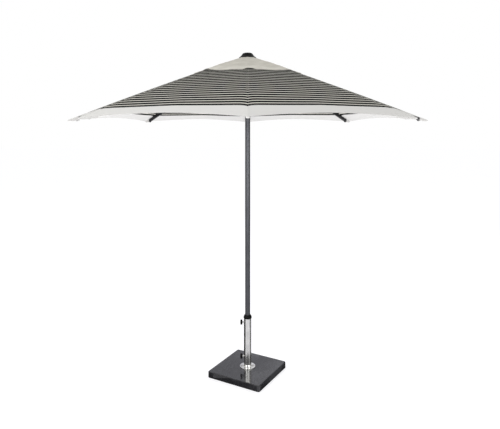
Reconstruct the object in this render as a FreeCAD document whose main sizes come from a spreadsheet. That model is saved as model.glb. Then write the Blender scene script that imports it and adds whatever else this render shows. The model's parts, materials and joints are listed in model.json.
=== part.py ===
"""Garden parasol with an eight-rib canopy on a granite and steel base.

Millimetres. The origin is on the floor under the pole, +Z up, and the clamp knobs point along -X.
Rib 1 points along -Y and the others follow anticlockwise. The canopy is open.

Each rib is drawn once in its own plane (X outward, Z up) and eight placed compounds repeat it.
"""

import FreeCAD, Part
import math
import os
import types
import Sketcher

Vector = FreeCAD.Vector
Rotation = FreeCAD.Rotation

RIBS = 8
BOLTS = 4
HALF_PANEL = 180 / RIBS
CLOSE = 0.01

doc = FreeCAD.newDocument("garden_parasol")
sheet = doc.addObject("Spreadsheet::Sheet", "Sheet")

DRIVING = {
    # base
    "slab_side": 430.0,
    "slab_thickness": 44.0,
    "slab_corner": 14.0,
    "slab_bevel": 4.0,
    "slab_turn": 30.0,
    "foot_radius": 20.0,
    "foot_height": 3.0,
    "foot_inset": 48.0,
    "flange_edge": 16.5,
    "flange_thickness": 5.0,
    "flange_bevel": 0.6,
    "bolt_stand": 10.0,
    "bolt_radius": 4.0,
    "bolt_clearance": 0.5,
    "bolt_recess": 2.0,
    "hex_radius": 7.5,
    "hex_height": 5.3,
    "washer_radius": 9.0,
    "washer_thickness": 1.6,
    "counterbore_radius": 11.5,
    "counterbore_depth": 13.0,
    "clamp_room": 8.0,
    "tube_wall": 1.5,
    "tube_length": 356.0,
    "weld_size": 2.5,
    "boss_radius": 8.0,
    "boss_height": 6.0,
    "boss_root": 0.2,
    "upper_screw": 326.0,
    "lower_screw": 72.0,
    # clamps
    "stud_radius": 4.0,
    "stud_gap": 4.5,
    "stud_point": 1.0,
    "stud_seat_gap": 0.1,
    "knob_radius": 18.5,
    "knob_height": 16.0,
    "knob_rim": 2.5,
    "knob_dome": 1.2,
    "grip_radius": 5.0,
    "grip_depth": 1.6,
    "shoe_thickness": 3.0,
    "shoe_height": 24.0,
    "shoe_angle": 70.0,
    "socket_radius": 6.5,
    "socket_height": 2.2,
    # pole
    "pole_radius": 19.0,
    "pole_wall": 1.5,
    "collar_swell": 2.0,
    "collar_height": 26.0,
    "collar_spigot": 18.0,
    "collar_lip": 0.5,
    "ring_height": 20.0,
    "ring_lead": 2.0,
    "foot_plug_base": 3.0,
    "foot_plug_depth": 28.0,
    "foot_plug_edge": 1.0,
    "running_fit": 0.05,
    "soft_gap": 0.3,
    # hub, runner and finial
    "hub_pivot_radius": 38.0,
    "hub_pivot_height": 2347.7,
    "hub_wall": 4.0,
    "hub_rim": 12.0,
    "plate_half": 9.0,
    "hub_skirt": 36.0,
    "hub_crown": 9.0,
    "tongue_width": 8.0,
    "tongue_gap": 0.3,
    "pin_radius": 2.5,
    "pin_length": 24.0,
    "runner_skirt": 21.0,
    "runner_flare": 2.0,
    "runner_lip": 6.0,
    "stem_radius": 6.0,
    "finial_rim": 64.0,
    "finial_edge": 2.5,
    "finial_top": 22.5,
    "finial_shoulder": 19.5,
    "finial_drop": 12.5,
    "finial_swell": 2.2,
    "finial_hollow": 1.2,
    "finial_height": 36.0,
    # ribs and struts
    "rib_fall": 19.73,
    "rib_length": 1315.0,
    "rib_bow": 7.2,
    "rib_width": 16.0,
    "rib_depth": 26.0,
    "rib_wall": 1.5,
    "rib_bevel": 1.4,
    "rib_start": 24.0,
    "rib_shoulder": 4.0,
    "shoulder_inset": 0.5,
    "plug_length": 40.0,
    "plug_gap": 0.2,
    "end_gap": 0.3,
    "bracket_reach": 478.0,
    "bracket_drop": 11.0,
    "bracket_half": 22.0,
    "bracket_wall": 2.5,
    "bracket_lip": 4.0,
    "rivet_head": 1.2,
    "hook_drop": 17.0,
    "cap_length": 8.0,
    "cap_round": 2.0,
    "strut_width": 12.0,
    "strut_depth": 14.0,
    "strut_wall": 1.2,
    "strut_bevel": 0.8,
    "strut_eye": 18.0,
    "strut_pin_radius": 2.0,
    "strut_pin_length": 20.0,
    "notch_gap": 0.3,
    # canopy
    "canopy_radius": 1350.0,
    "canopy_cut": 62.0,
    "canopy_gap": 1.2,
    "fabric": 1.5,
    "gore_gap": 0.3,
    "vent_inner": 280.0,
    "crown_radius": 400.0,
    "crown_gap": 0.6,
    "crown_hole": 10.0,
    "stem_gap": 2.0,
    # spring catch
    "catch_width": 8.0,
    "catch_reach": 5.5,
    "catch_height": 16.0,
    "catch_slot_gap": 0.5,
    # how far a cutting outline runs past the piece it cuts
    "overrun": 1.0,
}


class Size:
    """A number together with the sheet expression that it comes from."""

    def __init__(self, text, value):
        self.text = text
        self.value = value

    @staticmethod
    def of(other):
        """Any number as a Size."""
        return other if isinstance(other, Size) else Size(repr(float(other)), float(other))

    def __add__(self, other):
        other = Size.of(other)
        return Size(f"({self.text} + {other.text})", self.value + other.value)

    def __sub__(self, other):
        other = Size.of(other)
        return Size(f"({self.text} - {other.text})", self.value - other.value)

    def __mul__(self, other):
        other = Size.of(other)
        return Size(f"({self.text} * {other.text})", self.value * other.value)

    def __truediv__(self, other):
        other = Size.of(other)
        return Size(f"({self.text} / {other.text})", self.value / other.value)

    def __radd__(self, other):
        return Size.of(other) + self

    def __rsub__(self, other):
        return Size.of(other) - self

    def __rmul__(self, other):
        return Size.of(other) * self

    def __neg__(self):
        return Size.of(0) - self


def root(size):
    return Size(f"sqrt({size.text})", math.sqrt(size.value))


def sine(degrees):
    degrees = Size.of(degrees)
    return Size(f"sin({degrees.text})", math.sin(math.radians(degrees.value)))


def cosine(degrees):
    degrees = Size.of(degrees)
    return Size(f"cos({degrees.text})", math.cos(math.radians(degrees.value)))


def arcsine(size):
    return Size(f"(asin({size.text}) / 1 deg)", math.degrees(math.asin(size.value)))


def arctangent(size):
    return Size(f"(atan({size.text}) / 1 deg)", math.degrees(math.atan(size.value)))


def fill_sheet():
    """Put the driving sizes on the sheet and hand them back by name."""
    for row, (alias, number) in enumerate(DRIVING.items(), 1):
        sheet.set(f"A{row}", alias)
        sheet.set(f"B{row}", str(number))
        sheet.setAlias(f"B{row}", alias)
    doc.recompute()
    named = {alias: Size(f"Sheet.{alias}", number) for alias, number in DRIVING.items()}
    return types.SimpleNamespace(**named)


s = fill_sheet()


def bind(item, **sizes):
    """Tie properties of an object to the sheet."""
    for name, size in sizes.items():
        item.setExpression(name, Size.of(size).text)


def spot(pair):
    """Where a pair of sizes lies in a sketch."""
    return Vector(Size.of(pair[0]).value, Size.of(pair[1]).value, 0)


def outline(sketch, corners):
    """A closed outline. A corner is (x, y), or (x, y, (mx, my)) where its edge to the next corner
    is an arc through (mx, my)."""
    count = len(corners)
    spots = [spot(corner) for corner in corners]
    first = sketch.GeometryCount
    ends = []
    for i, corner in enumerate(corners):
        start = spots[i]
        end = spots[(i + 1) % count]
        ends.append(1)
        if len(corner) == 2:
            sketch.addGeometry(Part.LineSegment(start, end))
            continue
        middle = spot(corner[2])
        if (middle - start).cross(end - middle).z < 0:
            # a sketch only knows anticlockwise arcs, so this one is drawn from its far end
            start, end = end, start
            ends[i] = 2
        sketch.addGeometry(Part.Arc(start, middle, end))
    for i in range(count):
        j = (i + 1) % count
        sketch.addConstraint(
            Sketcher.Constraint("Coincident", first + i, 3 - ends[i], first + j, ends[j])
        )
    for i, corner in enumerate(corners):
        locate(sketch, first + i, ends[i], corner[0], corner[1])
        if len(corner) == 3:
            point = sketch.addGeometry(Part.Point(spot(corner[2])), True)
            locate(sketch, point, 1, *corner[2])
            sketch.addConstraint(Sketcher.Constraint("PointOnObject", point, 1, first + i))


def locate(sketch, geometry, place, across, up):
    """Hold one point of a sketch at two sizes from its origin."""
    for kind, size in (("DistanceX", Size.of(across)), ("DistanceY", Size.of(up))):
        index = sketch.addConstraint(
            Sketcher.Constraint(kind, -1, 1, geometry, place, size.value)
        )
        sketch.setExpression(f"Constraints[{index}]", size.text)


def circle(sketch, across, up, radius):
    """One round edge in a sketch."""
    radius = Size.of(radius)
    edge = Part.Circle(spot((across, up)), Vector(0, 0, 1), radius.value)
    geometry = sketch.addGeometry(edge)
    locate(sketch, geometry, 3, across, up)
    index = sketch.addConstraint(Sketcher.Constraint("Radius", geometry, radius.value))
    sketch.setExpression(f"Constraints[{index}]", radius.text)


class Body:
    """A PartDesign body and the features that shape it, newest last."""

    def __init__(self, label):
        self.body = doc.addObject("PartDesign::Body", label)
        self.body.Label = label
        self.last = None

    def datum(self, role):
        return [item for item in self.body.Origin.OriginFeatures if item.Role == role][0]

    def sketch(self, plane, draw, shift=0):
        """A sketch on one of the body's own planes, at a distance along the plane's normal."""
        sketch = self.body.newObject("Sketcher::SketchObject", "Sketch")
        sketch.AttachmentSupport = [(self.datum(plane + "_Plane"), "")]
        sketch.MapMode = "FlatFace"
        sketch.setExpression("AttachmentOffset.Base.z", Size.of(shift).text)
        draw(sketch)
        return sketch

    def feature(self, kind, sketch, **sizes):
        item = self.body.newObject("PartDesign::" + kind, kind)
        item.Profile = (sketch, [""])
        bind(item, **sizes)
        self.last = item
        return item

    def turn(self, corners, degrees=360):
        """Revolve a profile of (radius, height) corners about the body's Z axis."""
        sketch = self.sketch("XZ", lambda item: outline(item, corners))
        item = self.feature("Revolution", sketch, Angle=degrees)
        item.ReferenceAxis = (sketch, ["V_Axis"])
        item.Midplane = degrees != 360
        return self

    def pad(self, plane, draw, length, shift=0, both=False, back=False):
        """Add material along the plane's normal, to both sides, or backwards."""
        item = self.feature("Pad", self.sketch(plane, draw, shift), Length=length)
        item.SideType = "Symmetric" if both else "One side"
        item.Reversed = back
        return self

    def cut(self, plane, draw, length=None, shift=0):
        """Remove material to both sides of the plane, right through unless a length is given."""
        sketch = self.sketch(plane, draw, shift)
        if length is None:
            item = self.feature("Pocket", sketch)
            item.Type = "ThroughAll"
        else:
            item = self.feature("Pocket", sketch, Length=length)
        item.SideType = "Symmetric"
        return self

    def around(self, count):
        """Repeat the last feature about the body's Z axis."""
        original = self.last
        item = self.body.newObject("PartDesign::PolarPattern", "PolarPattern")
        item.Originals = [original]
        item.Axis = (self.datum("Z_Axis"), [""])
        item.Angle = 360
        item.Occurrences = count
        self.body.Tip = item
        self.last = item
        return self

    def dress(self, kind, size, chosen):
        """Round (Fillet, Radius) or bevel (Chamfer, Size) the edges that the test picks."""
        doc.recompute()
        base = self.last
        edges = base.Shape.Edges
        names = [f"Edge{i}" for i, edge in enumerate(edges, 1) if chosen(edge)]
        item = self.body.newObject("PartDesign::" + kind, kind)
        item.Base = (base, names)
        bind(item, **{"Radius" if kind == "Fillet" else "Size": size})
        self.last = item
        return self

    def place(self, x=0, y=0, z=0, axis=(0, 0, 1), angle=None):
        """Move and turn the body to where it sits."""
        self.body.Placement = FreeCAD.Placement(Vector(0, 0, 0), Rotation(Vector(*axis), 30))
        turned = Size.of(0 if angle is None else angle)
        self.body.setExpression("Placement.Rotation.Angle", turned.text)
        for name, size in (("x", x), ("y", y), ("z", z)):
            self.body.setExpression(f"Placement.Base.{name}", Size.of(size).text)
        return self


nodes = []


def node(label, masters, turn=0):
    """One named sub-part: its pieces, turned about the pole."""
    group = doc.addObject("Part::Compound", label)
    group.Label = label
    group.Links = [item.body if isinstance(item, Body) else item for item in masters]
    group.Placement = FreeCAD.Placement(Vector(0, 0, 0), Rotation(Vector(0, 0, 1), turn))
    nodes.append(group)


# heights that several pieces share
slab_top = s.foot_height + s.slab_thickness
flange_top = slab_top + s.flange_thickness
tube_top = flange_top + s.tube_length
tube_bore = s.pole_radius + s.clamp_room
tube_radius = tube_bore + s.tube_wall
bolt_circle = tube_radius + s.weld_size + s.bolt_stand
flange_radius = bolt_circle + s.flange_edge
collar_radius = tube_radius + s.collar_swell
pole_bottom = flange_top + s.soft_gap
hub_top = s.hub_pivot_height + s.plate_half + s.hub_crown
hub_rim_radius = s.hub_pivot_radius + s.hub_rim
hub_boss_radius = s.pole_radius + s.hub_wall
slot_root = hub_boss_radius + s.hub_wall
eye_radius = s.strut_depth / 2

# the rib's centre line: an arc from the hub pivot to the rib's end, bowed up over its chord
arc_radius = (s.rib_length * s.rib_length / 4 + s.rib_bow * s.rib_bow) / (2 * s.rib_bow)
end_slope = arcsine(s.rib_length / (2 * arc_radius))
half_rib = s.rib_depth / 2


def bow(along, above=0):
    """Height over the chord of a line parallel to the rib's centre line."""
    radius = arc_radius + above
    offset = s.rib_length / 2 - along
    return s.rib_bow - arc_radius + root(radius * radius - offset * offset)


def rib_point(along, above=0):
    """Outward distance from the pole's axis, and height, of a point along the rib."""
    height = bow(along, above)
    out = s.hub_pivot_radius + along * cosine(s.rib_fall) + height * sine(s.rib_fall)
    return out, s.hub_pivot_height - along * sine(s.rib_fall) + height * cosine(s.rib_fall)


# the centre of the rib's arc, which the fabric shares
centre_out = (
    s.hub_pivot_radius
    + s.rib_length / 2 * cosine(s.rib_fall)
    + (s.rib_bow - arc_radius) * sine(s.rib_fall)
)
centre_up = (
    s.hub_pivot_height
    - s.rib_length / 2 * sine(s.rib_fall)
    + (s.rib_bow - arc_radius) * cosine(s.rib_fall)
)


def fabric_height(out, above=0):
    """Height of the canopy's outer face over a rib, at a distance from the pole's axis."""
    radius = arc_radius + half_rib + s.canopy_gap + s.fabric + above
    across = Size.of(out) - centre_out
    return centre_up + root(radius * radius - across * across)


crown_lift = s.crown_gap + s.fabric

# the strut's bracket pin, and the runner pivot that mirrors the hub pivot below it
bracket_slope = arcsine((s.rib_length / 2 - s.bracket_reach) / arc_radius)
bracket_angle = s.rib_fall - bracket_slope
bracket_out, bracket_up = rib_point(s.bracket_reach)
# the bracket's pin hangs below the rib's underside
bracket_fall = half_rib + s.bracket_drop
strut_out = bracket_out - bracket_fall * sine(bracket_angle)
strut_up = bracket_up - bracket_fall * cosine(bracket_angle)
strut_run = strut_out - s.hub_pivot_radius
strut_rise = s.hub_pivot_height - strut_up
strut_length = root(strut_run * strut_run + strut_rise * strut_rise)
strut_angle = arctangent(strut_rise / strut_run)
runner_height = strut_up - strut_rise
runner_bottom = runner_height - s.plate_half - s.runner_skirt


def rounded_square(side, corner):
    """Corners of a square with round corners, for outline()."""
    half = side / 2
    flat = half - corner
    bulge = flat + corner * math.sqrt(0.5)
    return [
        (half, -flat),
        (half, flat, (bulge, bulge)),
        (flat, half),
        (-flat, half, (-bulge, bulge)),
        (-half, flat),
        (-half, -flat, (-bulge, -bulge)),
        (-flat, -half),
        (flat, -half, (bulge, -bulge)),
    ]


def rectangle(x0, x1, y0, y1):
    return [(x0, y0), (x1, y0), (x1, y1), (x0, y1)]


def hexagon(sketch, across, up, radius):
    """A six-sided outline round a centre, flats along X."""
    corners = []
    for i in range(6):
        turn = 60 * i
        corners.append((across + radius * cosine(turn), up + radius * sine(turn)))
    outline(sketch, corners)


def granite_slab():
    """Polished slab with a bevelled top edge and four counterbored bolt holes."""
    hole = s.bolt_radius + s.bolt_clearance
    across = bolt_circle * cosine(s.slab_turn)
    up = bolt_circle * sine(s.slab_turn)
    slab = Body("granite_slab_body")
    square = rounded_square(s.slab_side, s.slab_corner)
    slab.pad("XY", lambda item: outline(item, square), s.slab_thickness, s.foot_height)
    top = slab_top.value
    slab.dress(
        "Chamfer",
        s.slab_bevel,
        lambda edge: all(abs(v.Point.z - top) < CLOSE for v in edge.Vertexes),
    )
    slab.cut("XY", lambda item: circle(item, across, up, hole)).around(BOLTS)
    floor = s.foot_height
    depth = s.counterbore_depth
    bore = s.counterbore_radius
    slab.cut("XY", lambda item: circle(item, across, up, bore), 2 * depth, floor).around(BOLTS)
    slab.place(angle=-s.slab_turn)
    node("granite_slab", [slab])


def rubber_feet():
    """Four round pads under the slab's corners."""
    spot = s.slab_side / 2 - s.foot_inset
    feet = Body("rubber_feet_body")
    feet.pad("XY", lambda item: circle(item, spot, spot, s.foot_radius), s.foot_height)
    feet.around(BOLTS).place(angle=-s.slab_turn)
    node("rubber_feet", [feet])


def base_flange():
    """Round steel plate on the slab, with a hole for each bolt."""
    edge = s.flange_bevel
    flange = Body("base_flange_body")
    flange.turn(
        [
            (0, slab_top),
            (flange_radius, slab_top),
            (flange_radius, flange_top - edge),
            (flange_radius - edge, flange_top),
            (0, flange_top),
        ]
    )
    hole = s.bolt_radius + s.bolt_clearance
    flange.cut("XY", lambda item: circle(item, bolt_circle, 0, hole)).around(BOLTS)
    node("base_flange", [flange])


def flange_bolts():
    """Hexagon bolts with washers, from the flange's top into the slab's counterbores."""
    washer_top = flange_top + s.washer_thickness
    tip = s.foot_height + s.bolt_recess
    bolts = Body("flange_bolts_body")
    spot = bolt_circle
    bolts.pad("XY", lambda item: circle(item, spot, 0, s.bolt_radius), washer_top - tip, tip)
    bolts.around(BOLTS)
    bolts.pad("XY", lambda item: circle(item, spot, 0, s.washer_radius), s.washer_thickness, flange_top)
    bolts.around(BOLTS)
    bolts.pad("XY", lambda item: hexagon(item, spot, 0, s.hex_radius), s.hex_height, washer_top)
    bolts.around(BOLTS)
    node("flange_bolts", [bolts])


def flange_nuts():
    """A washer and a nut on each bolt, inside the slab's counterbores."""
    seat = s.foot_height + s.counterbore_depth
    nut_top = seat - s.washer_thickness
    bore = s.bolt_radius + s.running_fit
    spot = bolt_circle

    def washer(item):
        circle(item, spot, 0, s.washer_radius)
        circle(item, spot, 0, bore)

    def nut(item):
        hexagon(item, spot, 0, s.hex_radius)
        circle(item, spot, 0, bore)

    nuts = Body("flange_nuts_body")
    nuts.pad("XY", washer, s.washer_thickness, nut_top).around(BOLTS)
    nuts.pad("XY", nut, s.hex_height, nut_top, back=True).around(BOLTS)
    node("flange_nuts", [nuts])


def base_tube():
    """Steel tube welded on the flange, with two threaded bosses for the clamp studs."""
    tube = Body("base_tube_body")
    tube.turn(
        [
            (tube_bore, flange_top),
            (tube_radius + s.weld_size, flange_top),
            (tube_radius, flange_top + s.weld_size),
            (tube_radius, tube_top),
            (tube_bore, tube_top),
        ]
    )
    length = s.boss_height + s.tube_wall - s.boss_root
    thread = s.stud_radius + s.running_fit
    for height in (s.upper_screw, s.lower_screw):
        level = flange_top + height
        start = -(tube_bore + s.boss_root)
        tube.pad("YZ", lambda item: circle(item, 0, level, s.boss_radius), length, start, back=True)
        tube.cut("YZ", lambda item: circle(item, 0, level, thread), 2 * tube_radius, -tube_radius)
    node("base_tube", [tube])


def clamp(name, height):
    """Nylon shoe against the pole, the stud that presses it and the knob on the stud."""
    level = flange_top + height
    shoe_in = s.pole_radius + s.soft_gap
    shoe_out = shoe_in + s.shoe_thickness
    socket_end = shoe_out + s.socket_height
    stud_tip = shoe_out + s.stud_seat_gap
    half = s.shoe_height / 2
    shoe = Body(name + "_clamp_pad_body")
    shoe.turn(rectangle(shoe_in, shoe_out, -half, half), s.shoe_angle)
    start = shoe_in + s.shoe_thickness / 3
    boss = lambda item: circle(item, 0, 0, s.socket_radius)
    shoe.pad("YZ", boss, socket_end - start, start)
    socket = lambda item: circle(item, 0, 0, s.stud_radius + s.running_fit)
    shoe.cut("YZ", socket, 2 * s.socket_height, socket_end)
    shoe.place(z=level, angle=180)
    node(name + "_clamp_pad", [shoe])

    knob_start = tube_radius + s.boss_height + s.stud_gap
    knob_end = knob_start + s.knob_height
    stud_end = knob_start + s.knob_height / 2
    stud = Body(name + "_clamp_stud_body")
    stud.turn(
        [
            (0, stud_tip),
            (s.stud_radius - s.stud_point, stud_tip),
            (s.stud_radius, stud_tip + s.stud_point),
            (s.stud_radius, stud_end),
            (0, stud_end),
        ]
    )
    stud.place(z=level, axis=(0, 1, 0), angle=-90)
    node(name + "_clamp_stud", [stud])

    knob = Body(name + "_clamp_knob_body")
    bore = s.stud_radius + s.running_fit
    knob.turn(
        [
            (bore, knob_start),
            (s.knob_radius - s.knob_rim, knob_start),
            (s.knob_radius, knob_start + s.knob_rim),
            (s.knob_radius, knob_end - s.knob_rim),
            (s.knob_radius - s.knob_rim, knob_end - s.knob_dome),
            (s.knob_radius / 2, knob_end),
            (0, knob_end),
            (0, stud_end),
            (bore, stud_end),
        ]
    )
    reach = s.knob_radius + s.grip_radius - s.grip_depth
    knob.cut("XY", lambda item: circle(item, reach, 0, s.grip_radius)).around(RIBS)
    knob.place(z=level, axis=(0, 1, 0), angle=-90)
    node(name + "_clamp_knob", [knob])


def reducer_collar():
    """Moulded collar that centres the pole in the tube's mouth."""
    bore = s.pole_radius + s.running_fit
    fit = tube_bore - s.running_fit
    lip = tube_radius + s.collar_lip
    top = tube_top + s.collar_height
    neck = s.pole_radius + s.collar_spigot / 4
    collar = Body("reducer_collar_body")
    collar.turn(
        [
            (bore, tube_top - s.collar_spigot),
            (fit, tube_top - s.collar_spigot),
            (fit, tube_top),
            (lip, tube_top),
            (collar_radius, tube_top + s.collar_height / 8),
            (collar_radius, tube_top + s.collar_height / 2),
            (neck, top),
            (bore, top),
        ]
    )
    node("reducer_collar", [collar])


def centring_ring():
    """Ring at the foot of the tube that the pole stands in."""
    bore = s.pole_radius + s.running_fit * 2
    lead = s.ring_lead
    ring = Body("centring_ring_body")
    ring.turn(
        [
            (bore, flange_top),
            (tube_bore, flange_top),
            (tube_bore, flange_top + s.ring_height),
            (bore + lead, flange_top + s.ring_height),
            (bore, flange_top + s.ring_height - lead),
        ]
    )
    node("centring_ring", [ring])


def pole():
    """The pole, its foot plug and the spring catch in a slot under the runner."""
    inner = s.pole_radius - s.pole_wall
    start = pole_bottom + s.foot_plug_base
    end = s.hub_pivot_height + s.plate_half
    catch_top = runner_bottom - s.soft_gap
    slot_top = catch_top + s.catch_slot_gap
    slot_bottom = catch_top - s.catch_height - s.catch_slot_gap
    tube = Body("pole_tube_body")
    tube.turn(rectangle(inner, s.pole_radius, start, end))
    slot = rectangle(inner - s.overrun, s.pole_radius + s.overrun, slot_bottom, slot_top)
    tube.cut("XZ", lambda item: outline(item, slot), s.catch_width + 2 * s.catch_slot_gap)
    node("pole_tube", [tube])

    edge = s.foot_plug_edge
    hollow = inner - s.foot_plug_base
    plug = Body("pole_foot_plug_body")
    plug.turn(
        [
            (0, pole_bottom),
            (s.pole_radius - edge, pole_bottom),
            (s.pole_radius, pole_bottom + edge),
            (s.pole_radius, start),
            (inner, start),
            (inner, start + s.foot_plug_depth),
            (hollow, start + s.foot_plug_depth),
            (hollow, start + s.foot_plug_base),
            (0, start + s.foot_plug_base),
        ]
    )
    node("pole_foot_plug", [plug])

    reach = s.pole_radius + s.catch_reach
    back = inner - s.pole_wall
    low = catch_top - s.catch_height
    nose = catch_top - s.catch_height / 4
    corners = [(back, low), (s.pole_radius, low), (reach, nose), (reach, catch_top), (back, catch_top)]
    catch = Body("spring_catch_body")
    catch.pad("XZ", lambda item: outline(item, corners), s.catch_width, both=True)
    node("spring_catch", [catch])


def slotted_plate(body, height, slot_width):
    """Cut the eight radial slots and leave their walls standing."""
    half = slot_width / 2
    slot = rectangle(slot_root, hub_rim_radius + s.overrun, -half, half)
    body.cut("XY", lambda item: outline(item, slot), 4 * s.plate_half, height).around(RIBS)


def top_hub():
    """Slotted hub on the pole's top, with a pin across each slot for a rib to swing on."""
    level = s.hub_pivot_height
    bottom = level - s.plate_half - s.hub_skirt
    bore = s.pole_radius + s.running_fit
    stem = s.stem_radius + s.running_fit
    ceiling = level + s.plate_half
    hub = Body("top_hub_body")
    hub.turn(
        [
            (bore, bottom),
            (hub_boss_radius, bottom),
            (hub_boss_radius, level - s.plate_half),
            (hub_rim_radius, level - s.plate_half),
            (hub_rim_radius, level + s.plate_half),
            (hub_boss_radius, level + s.plate_half),
            (hub_boss_radius, hub_top),
            (stem, hub_top),
            (stem, ceiling),
            (bore, ceiling),
        ]
    )
    slotted_plate(hub, level, s.tongue_width + 2 * s.tongue_gap)
    bore_hole = lambda item: circle(item, s.hub_pivot_radius, level, s.pin_radius)
    hub.cut("XZ", bore_hole, s.pin_length).around(RIBS)
    node("top_hub", [hub])

    pins = Body("hub_pins_body")
    pins.pad("XZ", bore_hole, s.pin_length, both=True).around(RIBS)
    node("hub_pins", [pins])


def finial_cap():
    """Turned cap that clamps the crown's middle to the hub."""
    stem_top_radius = s.crown_hole - s.stem_gap
    lift = crown_lift + s.soft_gap
    under_rim = fabric_height(s.finial_rim, lift)
    top = fabric_height(0) + s.finial_height / 2
    edge_up = under_rim + s.finial_edge
    bend_out = s.finial_top + s.finial_shoulder
    bend_up = top - s.finial_drop
    flare = (
        (s.finial_rim + bend_out) / 2 - s.finial_hollow,
        (edge_up + bend_up) / 2 - s.finial_hollow,
    )
    shoulder = (
        (bend_out + s.finial_top) / 2 + s.finial_swell,
        (bend_up + top) / 2 + s.finial_swell,
    )
    finial = Body("finial_cap_body")
    finial.turn(
        [
            (0, hub_top - s.hub_crown / 2),
            (s.stem_radius, hub_top - s.hub_crown / 2),
            (s.stem_radius, hub_top),
            (stem_top_radius, hub_top),
            (stem_top_radius, fabric_height(stem_top_radius, lift)),
            (s.finial_rim, under_rim),
            (s.finial_rim, edge_up, flare),
            (bend_out, bend_up, shoulder),
            (s.finial_top, top),
            (0, top),
        ]
    )
    node("finial_cap", [finial])


def runner():
    """Sliding sleeve with a slot for each strut; the pin seats open downwards."""
    bore = s.pole_radius + s.running_fit
    level = runner_height
    lip = level + s.plate_half + s.runner_lip
    sleeve = Body("runner_body")
    sleeve.turn(
        [
            (bore, runner_bottom),
            (hub_boss_radius, runner_bottom),
            (hub_boss_radius + s.runner_flare, level - s.plate_half),
            (hub_rim_radius, level - s.plate_half),
            (hub_rim_radius, level + s.plate_half),
            (hub_boss_radius, level + s.plate_half),
            (hub_boss_radius, lip),
            (bore, lip),
        ]
    )
    slotted_plate(sleeve, level, s.strut_width + 2 * s.notch_gap)
    seat = s.strut_pin_radius + s.notch_gap
    left = s.hub_pivot_radius - seat
    right = s.hub_pivot_radius + seat
    below = level - 2 * s.plate_half
    notch = [
        (left, below),
        (right, below),
        (right, level, (s.hub_pivot_radius, level + seat)),
        (left, level),
    ]
    sleeve.cut("XZ", lambda item: outline(item, notch), s.strut_pin_length + 2 * s.notch_gap)
    sleeve.around(RIBS)
    node("runner_sleeve", [sleeve])


def long_edge(edge):
    """The four long edges of a rib or strut tube."""
    return edge.Length > s.bracket_reach.value / 2


def rib_tube():
    """Bowed rectangular tube, drawn in the rib's own frame from the hub pivot."""
    def band(start, end, above, below):
        middle = (start + end) / 2
        return [
            (start, bow(start, below), (middle, bow(middle, below))),
            (end, bow(end, below)),
            (end, bow(end, above), (middle, bow(middle, above))),
            (start, bow(start, above)),
        ]

    rib = Body("rib_master")
    outer = band(s.rib_start, s.rib_length, half_rib, -half_rib)
    rib.pad("XZ", lambda item: outline(item, outer), s.rib_width, both=True)
    rib.dress("Chamfer", s.rib_bevel, long_edge)
    inside = half_rib - s.rib_wall
    inner = band(s.rib_start - s.overrun, s.rib_length + s.overrun, inside, -inside)
    rib.cut("XZ", lambda item: outline(item, inner), s.rib_width - 2 * s.rib_wall)
    rib.place(x=s.hub_pivot_radius, z=s.hub_pivot_height, axis=(0, 1, 0), angle=s.rib_fall)
    return rib


def eye_outline(end, half):
    """A round eye about the origin that runs on as a bar."""
    return [(0, half, (-half, 0)), (0, -half), (end, -half), (end, half)]


def hub_eye():
    """Nylon end of the rib: a tongue with an eye, a shoulder and a plug inside the tube."""
    inside = half_rib - s.rib_wall - s.plug_gap
    across = s.rib_width - 2 * s.rib_wall - 2 * s.plug_gap
    shoulder = s.rib_start - s.rib_shoulder
    shoulder_end = s.rib_start - s.end_gap
    plug_end = s.rib_start + s.plug_length
    inset = half_rib - s.shoulder_inset
    eye = Body("hub_eye_master")
    tongue = eye_outline(shoulder_end, eye_radius)
    eye.pad("XZ", lambda item: outline(item, tongue), s.tongue_width, both=True)
    face = rectangle(shoulder, shoulder_end, -inset, inset)
    face_width = s.rib_width - 2 * s.shoulder_inset
    eye.pad("XZ", lambda item: outline(item, face), face_width, both=True)
    plug = rectangle(shoulder_end, plug_end, -inside, inside)
    eye.pad("XZ", lambda item: outline(item, plug), across, both=True)
    eye.cut("XZ", lambda item: circle(item, 0, 0, s.pin_radius + s.running_fit))
    angle = s.rib_fall - end_slope
    eye.place(x=s.hub_pivot_radius, z=s.hub_pivot_height, axis=(0, 1, 0), angle=angle)
    return eye


def strut_bracket():
    """Saddle that hugs the rib from below, with two ears and the strut's rivet between them."""
    grip = s.rib_width + s.plug_gap
    width = grip + 2 * s.bracket_wall
    low = -bracket_fall
    lip = s.bracket_lip
    ear = eye_radius
    floor = -half_rib - s.bracket_wall
    shape = [
        (-s.bracket_half, lip),
        (-s.bracket_half, floor),
        (-ear, low, (0, low - ear)),
        (ear, low),
        (s.bracket_half, floor),
        (s.bracket_half, lip),
    ]
    bracket = Body("strut_bracket_master")
    bracket.pad("XZ", lambda item: outline(item, shape), width, both=True)
    half = s.bracket_half + s.overrun
    seat = rectangle(-half, half, -half_rib - s.plug_gap, half_rib)
    bracket.cut("XZ", lambda item: outline(item, seat), grip)
    clevis = rectangle(-half, half, low - 2 * ear, floor)
    bracket.cut("XZ", lambda item: outline(item, clevis), s.strut_width + 2 * s.tongue_gap)
    rivet = width + 2 * s.rivet_head
    bracket.pad("XZ", lambda item: circle(item, 0, low, s.pin_radius), rivet, both=True)
    bracket.place(x=bracket_out, z=bracket_up, axis=(0, 1, 0), angle=bracket_angle)
    return bracket


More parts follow.
